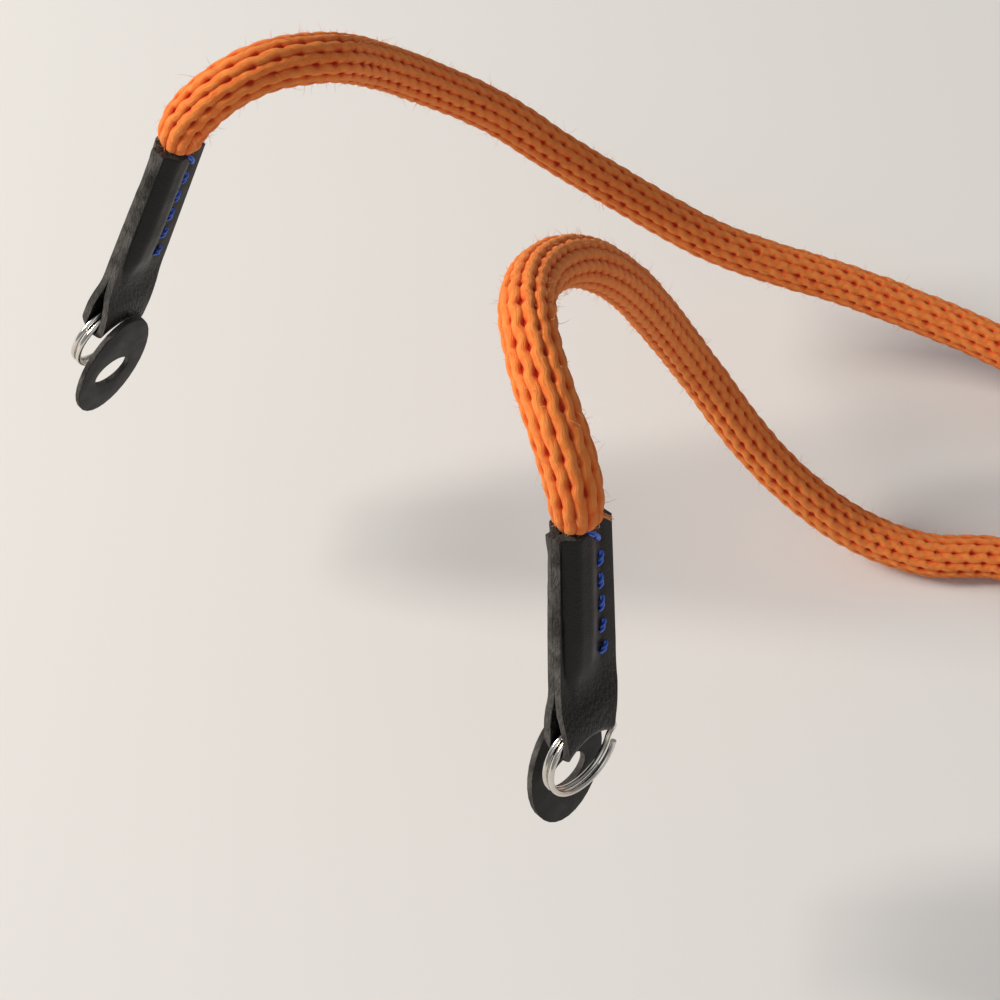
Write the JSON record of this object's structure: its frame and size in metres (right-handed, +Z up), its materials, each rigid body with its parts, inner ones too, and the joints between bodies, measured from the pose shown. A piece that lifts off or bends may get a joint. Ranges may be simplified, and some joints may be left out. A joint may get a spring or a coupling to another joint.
{
  "type": "rope camera neck strap",
  "caption": "Neck strap of round knitted cotton rope whose leather ends fold round split rings, each with a leather shield behind it.",
  "frame": {"origin": "the middle of the right-hand split ring, where the strap hangs on a lug", "axes": "+X from the left-hand ring to the right-hand ring, +Y to the back, where the rope falls, +Z up"},
  "size_m": [0.2923, 0.1601, 0.1293],
  "materials": {
    "knitted_rope": "soft knitted cotton with a fuzzy surface",
    "leather": "fine grain, half matt, raw edges greyer",
    "shield_leather": "smooth, half matt",
    "ring_steel": "polished spring wire",
    "thread": "waxed twisted thread"
  },
  "bodies": {
    "root": {"rope": "knitted_rope", "leather_end_right": "leather", "leather_end_left": "leather", "split_ring_right": "ring_steel", "split_ring_left": "ring_steel", "leather_shield_right": "shield_leather", "leather_shield_left": "shield_leather"}
  },
  "joints": []
}
